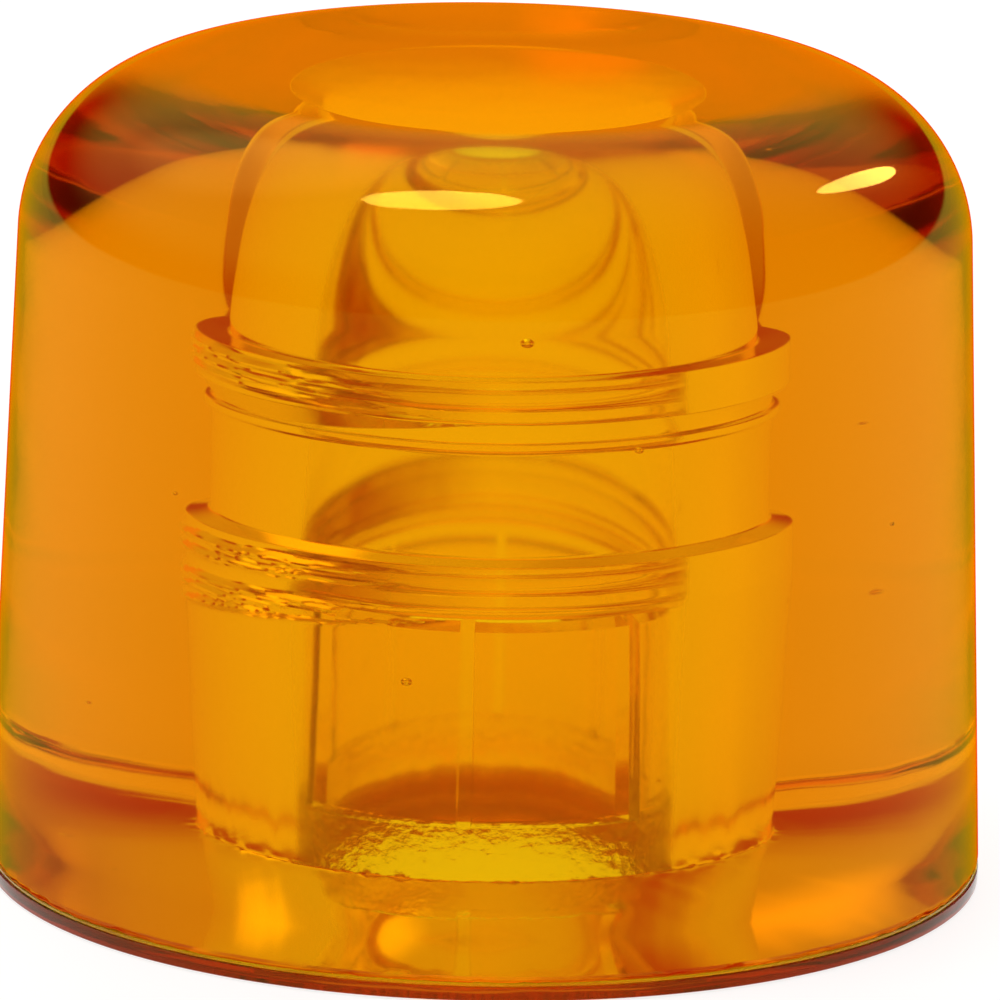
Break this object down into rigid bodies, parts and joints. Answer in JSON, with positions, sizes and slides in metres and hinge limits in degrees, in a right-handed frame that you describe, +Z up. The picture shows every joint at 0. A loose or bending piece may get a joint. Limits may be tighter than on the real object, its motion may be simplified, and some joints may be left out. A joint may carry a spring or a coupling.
{
  "type": "raised pavement marker",
  "caption": "Round clear amber stud-type road marker: thick lens cap with a rounded shoulder that lifts off a split socket sleeve on a thin base dish.",
  "frame": {"origin": "centre of the underside, on the ground", "axes": "+Z up along the lens's axis; the slits of the sleeve are spaced evenly about it"},
  "size_m": [0.05, 0.05, 0.041],
  "materials": {
    "lens_amber": "clear amber, polished",
    "seal_brown": "brown translucent, smooth",
    "sleeve_amber": "clear amber, as moulded",
    "gasket_yellow": "clear yellow, satin",
    "base_amber": "clear deep amber, as moulded"
  },
  "bodies": {
    "base": {"base_plate": "base_amber", "lock_ring": "base_amber", "socket_sleeve": "sleeve_amber", "foot_gasket": "gasket_yellow"},
    "lens": {"lens_body": "lens_amber", "upper_seal_ring": "seal_brown", "upper_backup_ring": "sleeve_amber", "lower_seal_ring": "seal_brown", "lower_backup_ring": "sleeve_amber"}
  },
  "joints": [
    {"name": "lens_lift", "type": "slide", "parent": "base", "child": "lens", "axis": [0, 0, 1], "range_m": [0, 0.0135]}
  ]
}
